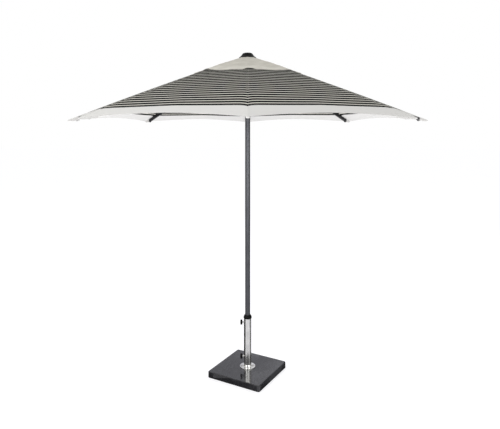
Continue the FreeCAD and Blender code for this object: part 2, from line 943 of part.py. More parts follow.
def end_cap():
    """Cap on the rib's outer end, with a plug inside the tube and a hook for the fabric's pocket."""
    inside = half_rib - s.rib_wall - s.plug_gap
    across = s.rib_width - 2 * s.rib_wall - 2 * s.plug_gap
    lip = s.cap_length / 2
    face = s.end_gap
    brow = (s.cap_length + lip) / 2 + s.overrun
    shape = [
        (face, half_rib),
        (lip, half_rib, (brow, half_rib - s.cap_round)),
        (s.cap_length, half_rib - lip * 2),
        (s.cap_length, -s.hook_drop + lip),
        (s.cap_length + lip, -s.hook_drop + lip),
        (s.cap_length + lip, -s.hook_drop),
        (lip, -s.hook_drop),
        (face, -half_rib),
    ]
    cap = Body("end_cap_master")
    cap.pad("XZ", lambda item: outline(item, shape), s.rib_width, both=True)
    plug = rectangle(-s.plug_length, face, -inside, inside)
    cap.pad("XZ", lambda item: outline(item, plug), across, both=True)
    out, up = rib_point(s.rib_length)
    cap.place(x=out, z=up, axis=(0, 1, 0), angle=s.rib_fall + end_slope)
    return cap


def strut():
    """Tube between two plugged eyes; the inner eye carries the runner pin."""
    half_wide = s.strut_width / 2
    half_deep = s.strut_depth / 2
    start = s.strut_eye
    end = strut_length - s.strut_eye

    def ring(item):
        outline(item, rectangle(-half_wide, half_wide, -half_deep, half_deep))
        wall = s.strut_wall
        inner = rectangle(wall - half_wide, half_wide - wall, wall - half_deep, half_deep - wall)
        outline(item, inner)

    def on_corner(edge):
        spot = edge.CenterOfMass
        wide = abs(abs(spot.y) - half_wide.value) < CLOSE
        return long_edge(edge) and wide and abs(abs(spot.z) - half_deep.value) < CLOSE

    tube = Body("strut_tube_master")
    tube.pad("YZ", ring, end - start, start)
    tube.dress("Chamfer", s.strut_bevel, on_corner)

    inside = half_deep - s.strut_wall - s.plug_gap
    across = s.strut_width - 2 * s.strut_wall - 2 * s.plug_gap
    eyes = []
    for name in ("outer_eye_master", "inner_eye_master"):
        eye = Body(name)
        bar = eye_outline(start, half_deep)
        eye.pad("XZ", lambda item: outline(item, bar), s.strut_width, both=True)
        plug = rectangle(start, start + s.plug_length / 2, -inside, inside)
        eye.pad("XZ", lambda item: outline(item, plug), across, both=True)
        eyes.append(eye)
    outer, inner = eyes
    outer.cut("XZ", lambda item: circle(item, 0, 0, s.pin_radius + s.running_fit))
    pin = lambda item: circle(item, 0, 0, s.strut_pin_radius)
    inner.pad("XZ", pin, s.strut_pin_length, both=True)
    for piece in (tube, outer):
        piece.place(x=strut_out, z=strut_up, axis=(0, 1, 0), angle=180 - strut_angle)
    inner.place(x=s.hub_pivot_radius, z=runner_height, axis=(0, 1, 0), angle=-strut_angle)
    return [tube, outer, inner]


def primitive(kind, label, **sizes):
    """One Part primitive or boolean, bound to the sheet."""
    item = doc.addObject("Part::" + kind, label)
    bind(item, **sizes)
    return item


def half_gore(label, inner, outer, lift, side):
    """Fabric from the rib's plane to the middle of one panel.

    The panel is straight across from rib to rib, so its profile in the middle plane, narrower than
    the rib's by the cosine of the half angle, is pushed across and trimmed by the two planes.
    """
    squeeze = math.cos(math.radians(HALF_PANEL))
    middle = (inner + outer) / 2
    face = lift
    back = lift - s.fabric
    profile = doc.addObject("Sketcher::SketchObject", label + "_profile")
    near, half_way, far = (squeeze * out for out in (inner, middle, outer))
    outline(
        profile,
        [
            (near, fabric_height(inner, back), (half_way, fabric_height(middle, back))),
            (far, fabric_height(outer, back)),
            (far, fabric_height(outer, face), (half_way, fabric_height(middle, face))),
            (near, fabric_height(inner, face)),
        ],
    )
    upright = Rotation(Vector(1, 0, 0), 90)
    turned = Rotation(Vector(0, 0, 1), side * HALF_PANEL)
    profile.Placement = FreeCAD.Placement(Vector(0, 0, 0), turned.multiply(upright))
    band = doc.addObject("Part::Extrusion", label + "_band")
    band.Base = profile
    band.DirMode = "Normal"
    band.Solid = True
    band.Symmetric = True
    bind(band, LengthFwd=2 * outer)
    gap = arcsine(s.gore_gap / 2 / inner)
    high = 2 * s.hub_pivot_height
    angle = HALF_PANEL - gap
    sector = primitive("Cylinder", label + "_sector", Radius=2 * outer, Height=high, Angle=angle)
    if side < 0:
        sector.Placement = FreeCAD.Placement(Vector(0, 0, 0), Rotation(Vector(0, 0, 1), -HALF_PANEL))
        sector.setExpression("Placement.Rotation.Angle", (gap - HALF_PANEL).text)
    half = doc.addObject("Part::Common", label + "_half")
    half.Base = band
    half.Tool = sector
    return half


def gore(label, inner, outer, lift):
    """Both half gores of one rib as one piece."""
    left = half_gore(label + "_left", inner, outer, lift, 1)
    right = half_gore(label + "_right", inner, outer, lift, -1)
    whole = doc.addObject("Part::Fuse", label)
    whole.Base = left
    whole.Tool = right
    return whole


def scallop(label, whole):
    """Hollow the gore's outer edge with a wide arc between each two rib tips."""
    half_chord = s.canopy_radius * sine(HALF_PANEL)
    chord_middle = s.canopy_radius * cosine(HALF_PANEL)
    sagitta = s.canopy_cut
    radius = (half_chord * half_chord + sagitta * sagitta) / (2 * sagitta)
    out = chord_middle - sagitta + radius
    for name, side in (("left", 1), ("right", -1)):
        cutter = primitive(
            "Cylinder", f"{label}_cutter_{name}", Radius=radius, Height=2 * s.hub_pivot_height
        )
        turn = side * HALF_PANEL
        cutter.setExpression("Placement.Base.x", (out * cosine(turn)).text)
        cutter.setExpression("Placement.Base.y", (out * sine(turn)).text)
        trimmed = doc.addObject("Part::Cut", f"{label}_trimmed_{name}")
        trimmed.Base = whole
        trimmed.Tool = cutter
        whole = trimmed
    return whole


def ribs():
    """Everything that repeats round the pole: ribs, fittings, struts and gores."""
    rib = [rib_tube()]
    fittings = [hub_eye(), strut_bracket(), end_cap()]
    struts = strut()
    main = gore("main_gore", s.vent_inner, s.canopy_radius, Size.of(0))
    main = scallop("main_gore", main)
    crown = gore("crown_gore", s.crown_hole, s.crown_radius, crown_lift)
    first = -90
    for i in range(RIBS):
        turn = first + i * 360 / RIBS
        node(f"rib_{i + 1}", rib, turn)
        node(f"rib_fittings_{i + 1}", fittings, turn)
        node(f"strut_{i + 1}", struts, turn)
        node(f"canopy_gore_{i + 1}", [main, crown], turn)


def build():
    granite_slab()
    rubber_feet()
    base_flange()
    flange_bolts()
    flange_nuts()
    base_tube()
    clamp("upper", s.upper_screw)
    clamp("lower", s.lower_screw)
    reducer_collar()
    centring_ring()
    pole()
    top_hub()
    finial_cap()
    runner()
    ribs()
    doc.recompute()


def check():
    """Stop if any object failed or any sub-part has no valid shape."""
    for item in doc.Objects:
        if "Invalid" in item.State or "Error" in item.State:
            raise RuntimeError(f"{item.Label} failed: {item.State}")
    for item in nodes:
        if item.Shape.isNull() or not item.Shape.isValid() or not item.Shape.Solids:
            raise RuntimeError(f"{item.Label} has no valid shape")


def write():
    os.makedirs("parts", exist_ok=True)
    for item in nodes:
        item.Shape.exportStep(f"parts/{item.Label}.step")
        print(item.Label, len(item.Shape.Solids), round(item.Shape.Volume))


build()
check()
write()
print("strut pin", strut_out.value, strut_up.value)
print("strut length and angle", strut_length.value, strut_angle.value)
print("runner pivot height", runner_height.value)
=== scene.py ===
# %% [markdown]
# # Finishing a garden parasol
#
# The working model of this parasol comes from CAD: slab, tube, pole, hub, ribs, struts and plain
# solids for the fabric. This lesson dresses it. Each step first says what the real piece is, how
# it could be made in Blender, and why one way was picked.
#
# The frame is loaded first. It is never moved, and every new piece takes its place from it.

import json
import math
from functools import partial

import bmesh
import bpy
import numpy as np
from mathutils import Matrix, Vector
from mathutils.bvhtree import BVHTree


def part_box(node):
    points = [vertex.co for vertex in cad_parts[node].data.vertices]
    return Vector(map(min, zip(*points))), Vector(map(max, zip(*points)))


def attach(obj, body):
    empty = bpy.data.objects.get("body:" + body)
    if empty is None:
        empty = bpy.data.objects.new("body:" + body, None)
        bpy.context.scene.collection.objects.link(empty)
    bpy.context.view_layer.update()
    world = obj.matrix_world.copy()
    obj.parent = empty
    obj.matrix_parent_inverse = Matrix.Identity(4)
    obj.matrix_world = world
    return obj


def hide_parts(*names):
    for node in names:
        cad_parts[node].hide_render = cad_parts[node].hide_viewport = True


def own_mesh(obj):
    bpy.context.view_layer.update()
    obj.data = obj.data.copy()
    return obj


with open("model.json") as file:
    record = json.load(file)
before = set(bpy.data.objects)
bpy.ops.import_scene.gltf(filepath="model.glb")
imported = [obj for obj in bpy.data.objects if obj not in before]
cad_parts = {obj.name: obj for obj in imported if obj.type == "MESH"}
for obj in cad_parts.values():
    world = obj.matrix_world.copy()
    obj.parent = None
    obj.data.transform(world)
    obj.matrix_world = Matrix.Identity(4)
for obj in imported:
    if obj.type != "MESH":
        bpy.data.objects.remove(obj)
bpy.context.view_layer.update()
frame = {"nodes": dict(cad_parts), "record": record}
nodes = frame["nodes"]
MM = 0.001
RIBS = 8
TURN = 2 * math.pi / RIBS
UP = np.array([0.0, 0.0, 1.0])

# %% [markdown]
# ## A short way to write shader maths
#
# A material is a tree of nodes. Wiring each Math node by hand hides what is being worked out, so
# one small class wraps a socket and answers to + - * and /, with a number on either side.

# %% Wires
class Wire:
    """A value inside a material; arithmetic on it adds Math nodes."""

    def __init__(self, finish, socket):
        self.finish = finish
        self.socket = socket

    def math(self, operation, *others):
        values = dict(enumerate((self, *others)))
        return self.finish.add("ShaderNodeMath", {"operation": operation}, values)

    def after(self, number, operation):
        """The reflected form, for a sum that starts with a plain number."""
        return self.finish.add("ShaderNodeMath", {"operation": operation}, {0: number, 1: self})

    def __add__(self, other):
        return self.math("ADD", other)

    def __sub__(self, other):
        return self.math("SUBTRACT", other)

    def __mul__(self, other):
        return self.math("MULTIPLY", other)

    def __truediv__(self, other):
        return self.math("DIVIDE", other)

    def __rsub__(self, number):
        return self.after(number, "SUBTRACT")

    def __rtruediv__(self, number):
        return self.after(number, "DIVIDE")

    __radd__ = __add__
    __rmul__ = __mul__

    def below(self, limit):
        return self.math("LESS_THAN", limit)

    def above(self, limit):
        return self.math("GREATER_THAN", limit)

    def fraction(self):
        return self.math("FRACT")

    def size(self):
        return self.math("ABSOLUTE")

    def clamp(self):
        return self.math("MINIMUM", 1.0).math("MAXIMUM", 0.0)


print("wires answer to + - * /")

# %% [markdown]
# ## Finishes
#
# A finish is one material under construction. Every node of it comes from a single method that
# takes the node's type, its settings and its inputs; the short methods below name the nodes that
# come back often. Patterns are worked out from a place on the piece, so no picture is needed and
# nothing stretches.

# %% Finishes
class Finish:
    """A material under construction."""

    def __init__(self, name):
        self.material = bpy.data.materials.new(name)
        self.material.use_nodes = True
        self.tree = self.material.node_tree
        self.shader = self.tree.nodes["Principled BSDF"]

    def join(self, node, key, value):
        """Give a socket, by its place in the list or by its name, a value or a link."""
        if isinstance(key, int):
            socket = node.inputs[key]
        else:
            socket = next(s for s in node.inputs if key in (s.identifier, s.name) and s.enabled)
        if isinstance(value, Wire):
            self.tree.links.new(value.socket, socket)
        else:
            socket.default_value = value

    def add(self, kind, settings=None, inputs=None, out=0):
        """A node of this kind; the answer is the Wire of one of its outputs."""
        node = self.tree.nodes.new(kind)
        for name, value in (settings or {}).items():
            setattr(node, name, value)
        for key, value in (inputs or {}).items():
            self.join(node, key, value)
        return Wire(self, node.outputs[out])

    def object_place(self):
        return self.add("ShaderNodeTexCoord", out="Object")

    def split(self, vector, axis):
        return self.add("ShaderNodeSeparateXYZ", {}, {0: vector}, out=axis)

    def stretch(self, vector, x=1.0, y=1.0, z=1.0):
        return self.add("ShaderNodeMapping", {}, {"Vector": vector, "Scale": (x, y, z)})

    def noise(self, vector, scale, detail=2.0):
        inputs = {"Vector": vector, "Scale": scale, "Detail": detail}
        return self.add("ShaderNodeTexNoise", {}, inputs)

    def grains(self, vector, scale, out="Color"):
        return self.add("ShaderNodeTexVoronoi", {}, {"Vector": vector, "Scale": scale}, out=out)

    def tint(self, factor, first, second):
        """One colour turning into another as the factor goes from 0 to 1."""
        pair = [(*c, 1.0) if isinstance(c, tuple) else c for c in (first, second)]
        inputs = {"Factor_Float": factor, "A_Color": pair[0], "B_Color": pair[1]}
        return self.add("ShaderNodeMix", {"data_type": "RGBA"}, inputs, out=2)

    def bump(self, height, distance, strength):
        inputs = {"Height": height, "Distance": distance, "Strength": strength}
        return self.add("ShaderNodeBump", {}, inputs)

    def surface(self, **inputs):
        """Set the Principled shader's sockets: Base_Color stands for Base Color, and so on."""
        for name, value in inputs.items():
            if isinstance(value, tuple) and len(value) == 3:
                value = (*value, 1.0)
            self.join(self.shader, name.replace("_", " "), value)
        return self.material


print("shader helpers ready")

# %% [markdown]
# ## Camera
#
# The camera stands a little below the canopy's rim, level, and close enough that the side panels
# are seen edge-on. A level camera keeps the pole upright; the lens is shifted down to take in the
# base.

# %% Camera
camera_data = bpy.data.cameras.new("camera")
camera_data.sensor_width = 36.0
camera_data.lens = 36.5
camera_data.shift_x = 0.0047
camera_data.shift_y = -0.1748
camera_data.clip_end = 200
camera = bpy.data.objects.new("camera", camera_data)
camera.location = (0, -3.80, 1.839)
camera.rotation_euler = (math.radians(90), 0, 0)
bpy.context.scene.collection.objects.link(camera)
bpy.context.scene.camera = camera
bpy.context.scene.view_settings.view_transform = "Standard"
print("camera at", tuple(camera.location))

# %% [markdown]
# ## Lamps
#
# Four large lamps light the parasol as a product is lit in a studio: a key from the upper left, a
# weaker fill from the right, one behind, and a low one that lifts the underside of the canopy. Sun
# lamps or spots would do too, but only a large rectangle gives the soft edges that cloth needs.
# The low lamp is kept out of reflections, because the ribs would show it as a white sheet.

# %% Soft lamps
def area_lamp(name, place, aim, size, power):
    """A soft rectangular lamp pointed at a spot."""
    data = bpy.data.lights.new(name, "AREA")
    data.shape = "RECTANGLE"
    data.size, data.size_y = size
    data.energy = power
    lamp = bpy.data.objects.new(name, data)
    lamp.location = place
    lamp.rotation_euler = (Vector(aim) - Vector(place)).to_track_quat("-Z", "Y").to_euler()
    lamp.visible_camera = False
    bpy.context.scene.collection.objects.link(lamp)
    return lamp


area_lamp("key_lamp", (-3.6, -4.2, 4.6), (0, 0, 1.6), size=(2.6, 2.6), power=150)
area_lamp("fill_lamp", (4.4, -3.2, 3.0), (0, 0, 1.4), size=(3.0, 3.0), power=40)
area_lamp("back_lamp", (1.0, 4.6, 4.2), (0, 0, 1.8), size=(3.0, 2.0), power=60)
low_lamp = area_lamp("low_lamp", (0, -0.6, 0.45), (0, -0.6, 2.3), size=(3.4, 2.6), power=25)
low_lamp.visible_glossy = False
print("lamps:", len(bpy.data.lights))

# %% [markdown]
# ## White surroundings
#
# To the camera, and to anything that mirrors it, the world is plain white. As a light it is
# weaker, or it would wash the shadows out. The Light Path node tells the two apart.

# %% World
AMBIENT = 0.62

world = bpy.data.worlds.new("studio")
world.use_nodes = True
bpy.context.scene.world = world
sky = world.node_tree
background = sky.nodes["Background"]
background.inputs["Color"].default_value = (1.0, 1.0, 1.0, 1.0)
path = sky.nodes.new("ShaderNodeLightPath")
mirrored = sky.nodes.new("ShaderNodeMath")
mirrored.operation = "MAXIMUM"
sky.links.new(path.outputs["Is Camera Ray"], mirrored.inputs[0])
sky.links.new(path.outputs["Is Glossy Ray"], mirrored.inputs[1])
level = sky.nodes.new("ShaderNodeMapRange")
level.inputs["To Min"].default_value = AMBIENT
level.inputs["To Max"].default_value = 1.0
sky.links.new(mirrored.outputs[0], level.inputs["Value"])
sky.links.new(level.outputs["Result"], background.inputs["Strength"])
print("world: 1.0 to the eye,", AMBIENT, "as a light")

# %% [markdown]
# ## Floor
#
# A plain pale floor runs to the horizon. A shadow-catching plane would need compositing; instead a
# share of what is seen of this one is plain white, and the rest is lit ground, so the shadow under
# the slab stays, but faint.

# %% Floor
FLOOR_HALF = 40.0
FLOOR_WHITE = 0.40
FLOOR_GLOW = 0.33
FLOOR_GLOSS = 0.4


def floor_finish():
    """Pale ground mixed with plain white: one share for the eye, another for light and gloss."""
    finish = Finish("floor_finish")
    mottle = finish.noise(finish.object_place(), 3.0)
    finish.surface(Base_Color=finish.tint(mottle, (0.84, 0.84, 0.89), (0.86, 0.86, 0.91)))
    finish.surface(Roughness=0.9, Specular_IOR_Level=0.0)
    ground = Wire(finish, finish.shader.outputs[0])
    seen = finish.add("ShaderNodeLightPath", out="Is Camera Ray")
    lit = finish.add("ShaderNodeLightPath", out="Is Diffuse Ray")
    glossy = finish.add("ShaderNodeLightPath", out="Is Glossy Ray")
    glow = {"Color": (1.0, 1.0, 1.0, 1.0), "Strength": 1.7}
    white = finish.add("ShaderNodeEmission", {}, glow)
    share = seen * FLOOR_WHITE + (lit + glossy * FLOOR_GLOSS) * FLOOR_GLOW
    mixed = finish.add("ShaderNodeMixShader", {}, {0: share, 1: ground, 2: white})
    output = finish.tree.nodes["Material Output"]
    finish.tree.links.new(mixed.socket, output.inputs["Surface"])
    return finish.material


floor_mesh = bpy.data.meshes.new("floor")
square = ((-1, -1), (1, -1), (1, 1), (-1, 1))
floor_corners = [(x * FLOOR_HALF, y * FLOOR_HALF, 0) for x, y in square]
floor_mesh.from_pydata(floor_corners, [], [(0, 1, 2, 3)])
floor = bpy.data.objects.new("floor", floor_mesh)
floor_mesh.materials.append(floor_finish())
bpy.context.scene.collection.objects.link(floor)
print("floor:", 2 * FLOOR_HALF, "m square")

# %% [markdown]
# ## Cards that only reflections see
#
# Without something dark to mirror, polished metal in a white room looks like paper. The pole
# mirrors the tall cards at its sides. The tube, which is seen from above, mirrors the two wedges
# that lie on the floor beside it. The top of the slab mirrors the grey card at the back, and its
# sides mirror the dark skirt on the floor around it.

# %% Reflection cards
def reflection_card(name, corners, shade=0.02):
    """A grey card that only reflections see."""
    mesh = bpy.data.meshes.new(name)
    mesh.from_pydata(corners, [], [tuple(range(len(corners)))])
    card_finish = Finish(name + "_finish")
    card_finish.surface(Base_Color=(shade, shade, shade * 1.08), Roughness=1.0)
    mesh.materials.append(card_finish.material)
    card = bpy.data.objects.new(name, mesh)
    bpy.context.scene.collection.objects.link(card)
    card.visible_camera = False
    card.visible_diffuse = False
    card.visible_shadow = False
    card.visible_transmission = False


WEDGE_POINT = 0.03
WEDGE_RIM = 1.6
WEDGE_HEIGHT = 4 * MM


def round_floor(radius, bearing):
    """A wedge's corner, by its bearing in radians from the camera's side."""
    return radius * math.sin(bearing), -radius * math.cos(bearing), WEDGE_HEIGHT


def floor_wedge(first, last):
    """Corners of a flat wedge on the floor, between two bearings in degrees."""
    rim = [round_floor(WEDGE_RIM, a) for a in np.radians(np.linspace(first, last, 7))]
    return [round_floor(WEDGE_POINT, math.radians((first + last) / 2))] + rim


def wall(x_ends, y_ends, low, high):
    """Corners of an upright card, given its two ends and its lower and upper edge."""
    ends = list(zip(x_ends, y_ends))
    return [(x, y, low) for x, y in ends] + [(x, y, high) for x, y in reversed(ends)]


SIDES = {"left": -1, "right": 1}
TALL_AWAY = 2.4
SKIRT_HALF = 0.285
SKIRT_TURN = 75
BACK_SHADE = 0.72

for name, side in SIDES.items():
    tall = wall((TALL_AWAY * side, TALL_AWAY * side), (0.2, 8.0), 0.02, 1.4)
    reflection_card(f"tall_card_{name}", tall)
reflection_card("back_card", wall((-2.3, 2.3), (4, 4), 0.6, 2.7), BACK_SHADE)
reach = SKIRT_HALF * math.sqrt(2)
turns = np.radians(np.arange(SKIRT_TURN, SKIRT_TURN + 360, 90))
skirt = [(reach * math.cos(a), reach * math.sin(a), 1 * MM) for a in turns]
reflection_card("skirt_card", skirt)
reflection_card("low_card_left", floor_wedge(-64, -150))
reflection_card("low_card_right", floor_wedge(72, 112))
print("cards: two tall, one at the back, a skirt and two wedges")

# %% [markdown]
# ## Sheen on the pole
#
# Two wide lamps in front give the pole and the tube their soft bright bands. They are for
# reflections only and add nothing to the cloth. A polished slab would mirror them as white squares
# when it is looked at from behind, so light linking leaves it out of what they reach.

# %% Sheen lamps
SHEEN_SIZE = (2.02, 0.9)
SHEEN_POWER = 37
SHEEN_PLACE = np.array([1.45, -2.95, 1.45])
SHEEN_FACING = np.array([-0.346, 0.938, 0.0])

stone_spared = bpy.data.collections.new("stone_spared")
stone_spared.objects.link(nodes["granite_slab"])
stone_spared.collection_objects[0].light_linking.link_state = "EXCLUDE"
for name, side in SIDES.items():
    flip = np.array([side, 1, 1])
    place, aim = SHEEN_PLACE * flip, (SHEEN_PLACE + SHEEN_FACING) * flip
    lamp = area_lamp(f"sheen_lamp_{name}", place, aim, SHEEN_SIZE, SHEEN_POWER)
    lamp.visible_diffuse = False
    lamp.light_linking.receiver_collection = stone_spared

# %% [markdown]
# ## Stone
#
# The slab is polished dark granite: crystals of two sizes in a near black ground, with faint
# clouds. Voronoi cells of fixed size stand for the crystals, each with a shade of its own. Like
# every finish here it reads Object coordinates, because each piece keeps its origin at the frame's
# own, so the grain stays put when the parasol moves. Constants sit on the shader's sockets; only
# what changes over the surface is wired.

# %% Granite
CRYSTALS = 620.0
FELDSPARS = 400.0


def granite():
    """Polished dark granite: fine crystals in two sizes, cloudy patches, a near mirror gloss."""
    finish = Finish("granite")
    place = finish.object_place()
    crystal = finish.split(finish.grains(place, CRYSTALS), "X")
    feldspar = finish.split(finish.grains(place, FELDSPARS), "Y")
    cloud = finish.noise(place, 9.0, 4.0)
    body = finish.tint(crystal, (0.006, 0.006, 0.007), (0.030, 0.030, 0.033))
    flecked = finish.tint(feldspar.above(0.90) * 0.55, body, (0.10, 0.10, 0.11))
    drift = finish.noise(finish.stretch(place, y=0.6), 7.0, 3.0)
    patch = ((drift - 0.50) * 6.0).clamp() * 0.8
    colour = finish.tint(cloud * 0.5, flecked, (0.014, 0.014, 0.016))
    colour = finish.tint(patch, colour, (0.060, 0.061, 0.066))
    rough = crystal * 0.06 + cloud * 0.10 + 0.05
    skin = finish.bump(crystal, 0.02 * MM, 0.25)
    return finish.surface(
        Base_Color=colour, Roughness=rough, Normal=skin, Specular_IOR_Level=0.5
    )


FINISHES = {"granite": granite()}
print("granite:", CRYSTALS, "crystals to the metre")

# %% [markdown]
# ## Metal
#
# The tube and flange are brushed stainless steel, the bolts plain steel, the pole anodised
# aluminium and the ribs powder coated. Brushed metal is noise squeezed hard along one direction,
# which drives both the tint and the roughness; anisotropic gloss would do it too, but it needs
# tangents that loose CAD triangles don't have. Powder coat is a fine orange-peel skin over a
# little wear.

# %% Metal finishes
STROKE_SQUEEZE = 60.0
STROKE_STRETCH = 0.8


def brushed(name, dark, light, rough, along, metallic=1.0):
    """Metal with fine lines: noise squeezed hard along the direction of the strokes."""
    finish = Finish(name)
    place = finish.object_place()
    scale = [STROKE_SQUEEZE] * 3
    scale["XYZ".index(along)] = STROKE_STRETCH
    strokes = finish.noise(finish.stretch(place, *scale), 22.0, 3.0)
    handling = finish.noise(place, 14.0, 3.0)
    streaks = ((strokes * 0.6 + handling * 0.4 - 0.5) * 2.4 + 0.5).clamp()
    colour = finish.tint(streaks, dark, light)
    roughness = rough + (strokes - 0.5) * 0.14 + (handling - 0.5) * 0.10
    skin = finish.bump(strokes, 0.04 * MM, 0.35)
    return finish.surface(Base_Color=colour, Roughness=roughness, Metallic=metallic, Normal=skin)


def powder_coat(name, dark, light, rough):
    """Baked powder over aluminium: an orange-peel skin, a little flake."""
    finish = Finish(name)
    place = finish.object_place()
    peel = finish.noise(place, 380.0)
    wear = finish.noise(place, 6.0, 4.0)
    colour = finish.tint(wear, dark, light)
    roughness = rough + (wear - 0.5) * 0.12
    skin = finish.bump(peel, 0.08 * MM, 0.4)
    return finish.surface(Base_Color=colour, Roughness=roughness, Metallic=0.35, Normal=skin)


FINISHES["stainless"] = brushed("stainless", (0.46, 0.46, 0.45), (0.94, 0.93, 0.90), 0.17, "Z")
FINISHES["bolt_steel"] = brushed("bolt_steel", (0.30, 0.30, 0.30), (0.46, 0.46, 0.46), 0.30, "X")
FINISHES["pole_metal"] = brushed(
    "pole_metal", (0.056, 0.057, 0.063), (0.088, 0.090, 0.098), 0.38, "Z", metallic=0.75
)
FINISHES["rib_metal"] = powder_coat("rib_metal", (0.010, 0.010, 0.012), (0.018, 0.018, 0.021), 0.5)
print("metals:", ", ".join(list(FINISHES)[1:]))

# %% [markdown]
# ## Plastic and rubber
#
# Knobs, collar, finial and hub are moulded. A mould leaves a fine pebbled texture, and hands rub
# it a little paler and smoother in places, which a broad noise stands for.

# %% Moulded finishes
def moulded(name, dark, light, rough, grain=900.0, gloss=0.5):
    """Moulded plastic: a fine even texture and slightly paler handled patches."""
    finish = Finish(name)
    place = finish.object_place()
    pebble = finish.grains(place, grain, out="Distance")
    rub = finish.noise(place, 30.0, 3.0)
    colour = finish.tint(rub, dark, light)
    roughness = rough + (rub - 0.5) * 0.16
    skin = finish.bump(pebble, 0.06 * MM, 0.5)
    return finish.surface(
        Base_Color=colour, Roughness=roughness, Normal=skin, Specular_IOR_Level=gloss
    )


FINISHES["rubber"] = moulded("rubber", (0.012, 0.012, 0.012), (0.022, 0.022, 0.022), 0.8)
FINISHES["nylon"] = moulded("nylon", (0.018, 0.018, 0.020), (0.032, 0.032, 0.035), 0.55)
FINISHES["black_plastic"] = moulded(
    "black_plastic", (0.003, 0.003, 0.003), (0.007, 0.007, 0.006), 0.40, gloss=0.06
)
slot_of = {entry["node"]: entry["material_slot"] for entry in frame["record"]["subparts"]}
hard = [name for name in nodes if slot_of[name] in FINISHES]
for name in hard:
    nodes[name].data.materials.clear()
    nodes[name].data.materials.append(FINISHES[slot_of[name]])
print("finished", len(hard), "hard nodes with", ", ".join(FINISHES))

# %% [markdown]
# ## The canopy's rule
#
# A canopy panel is stretched straight across from rib to rib, so the whole surface follows from
# one curve: the height of the fabric over a rib. The curve could be typed in, but then it would
# drift from the frame; instead it is sounded, by dropping rays on the CAD fabric over rib 1.

# %% The fabric line
SOUNDINGS = 12

cad_gore = nodes["canopy_gore_1"].data
cad_cloth = BVHTree.FromPolygons(
    [vertex.co for vertex in cad_gore.vertices], [face.vertices for face in cad_gore.polygons]
)


def sound(radius):
    """Height of the top of the CAD fabric over rib 1, this far out."""
    return cad_cloth.ray_cast(Vector((0.2 * MM, -radius, 3.0)), Vector((0, 0, -1)))[0].z


def fabric_line(start, end):
    """The parabola through soundings between two radii."""
    places = np.linspace(start, end, SOUNDINGS)
    return np.polyfit(places, [sound(radius) for radius in places], 2)


main_line = fabric_line(0.45, 1.34)
crown_line = fabric_line(0.07, 0.38)
print("main line", main_line.round(4), "crown line", crown_line.round(4))

# %% [markdown]
# ## Cloth coordinates
#
# A place on the cloth has two coordinates. The first is the radius of the chord it lies on,
# measured along the rib. The second runs from -1 to 1 across one gore: 0 over the rib, 1 in the
# middle of the bay. The hem is a curve in them: it runs from tip to tip and dips inward in
# mid-bay, which keeps the edge of a real canopy tight.

# %% Cloth coordinates
SIDE = math.sin(TURN / 2) * math.cos(TURN / 2)
BACK = math.sin(TURN / 2) ** 2
TIP = -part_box("canopy_gore_1")[0].y
HEM_MIDDLE = 1.182
HEM_POWER = 1.6
HEM_ROUNDS = 30


def hem(across):
    """Radius of the scalloped edge, found by repetition, because its chord depends on it."""
    radius = np.full_like(across, TIP)
    tip_chord = TIP * math.cos(TURN / 2)
    for _ in range(HEM_ROUNDS):
        reach = radius / TIP * (1 - np.abs(across))
        chord = HEM_MIDDLE + (tip_chord - HEM_MIDDLE) * reach**HEM_POWER
        radius = chord / math.cos(TURN / 2)
    return radius


def frame_of(k):
    """Outward and sideways directions of rib k."""
    angle = -math.pi / 2 + TURN * (k - 1)
    out = np.array([math.cos(angle), math.sin(angle), 0.0])
    side = np.array([-math.sin(angle), math.cos(angle), 0.0])
    return out, side


def on_cloth(k, radius, across, height):
    """Points for arrays of cloth coordinates and heights, on the gore of rib k."""
    out, side = frame_of(k)
    forward = radius * (1 - BACK * np.abs(across))
    sideways = radius * SIDE * across
    return forward[..., None] * out + sideways[..., None] * side + height[..., None] * UP


def bell(across):
    """0 over the rib, 1 in mid-bay, level at both."""
    return (1 - np.cos(math.pi * across)) / 2


middle_hem = float(hem(np.array([1.0]))[0])
print("tip radius", round(TIP, 4), "hem in mid-bay", round(middle_hem, 4))

# %% [markdown]
# ## Weave
#
# Canopy cloth is a woven polyester. The weave is too fine to model, so it is a bump of crossed
# threads with thicker ones here and there; the same numbers shade the colour and the roughness a
# little. A finish gets its pattern from a paint function, which is handed the cloth coordinates.

# %% Weave
THREADS = 5200.0
WEAVE_DEPTH = 0.12 * MM


def woven(finish, radius, across):
    """Bump and shade of a plain weave, from the cloth's coordinates."""
    warp = radius * THREADS
    weft = radius * across * (THREADS * SIDE)
    thread = warp.math("SINE") * weft.math("SINE")
    place = finish.object_place()
    slub = finish.noise(place, 160.0)
    soft = finish.noise(place, 5.0, 3.0)
    skin = finish.bump(thread * 0.5 + slub, WEAVE_DEPTH, 0.5)
    shade = (slub - 0.5) * 0.10 + (soft - 0.5) * 0.08 + 0.5
    return skin, shade.clamp()


def cloth_finish(name, paint):
    """Canopy cloth; paint gives the pattern from the finish and the two coordinates."""
    finish = Finish(name)
    chart = finish.add("ShaderNodeUVMap", {"uv_map": "cloth"})
    radius = finish.split(chart, "X")
    across = finish.split(chart, "Y")
    skin, shade = woven(finish, radius, across)
    pattern = paint(finish, radius, across, shade)
    rough = shade * 0.2 + 0.72
    return finish.surface(
        Base_Color=pattern, Roughness=rough, Normal=skin, Specular_IOR_Level=0.04
    )


print("weave:", round(THREADS / (2 * math.pi)), "threads to the metre")
